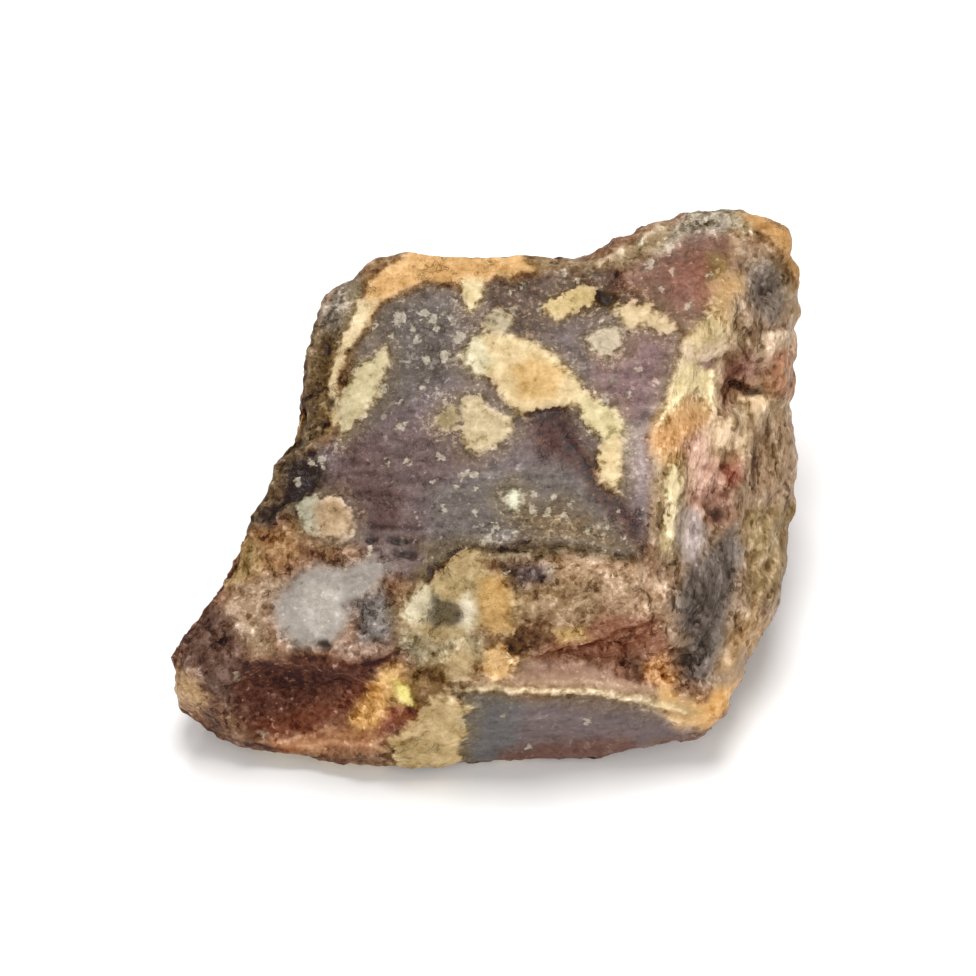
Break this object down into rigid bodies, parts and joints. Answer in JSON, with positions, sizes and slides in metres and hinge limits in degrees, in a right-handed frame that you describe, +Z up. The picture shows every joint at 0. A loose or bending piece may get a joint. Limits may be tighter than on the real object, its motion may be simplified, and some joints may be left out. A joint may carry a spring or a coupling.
{
  "type": "raw amber piece",
  "caption": "Rough natural lump of dark amber with shell-shaped broken faces, a pointed nose, a hollow and patchy crust.",
  "frame": {"origin": "centre of the footprint's box, on the flat side that the lump rests on", "axes": "+Z up from the resting side, +X from the pointed nose towards the streaked crust side, -Y towards the broken front with the hollow and the foot"},
  "size_m": [0.063, 0.0512, 0.031],
  "materials": {
    "amber": "satin broken faces under a dull crust"
  },
  "bodies": {
    "root": {"amber_lump": "amber"}
  },
  "joints": []
}
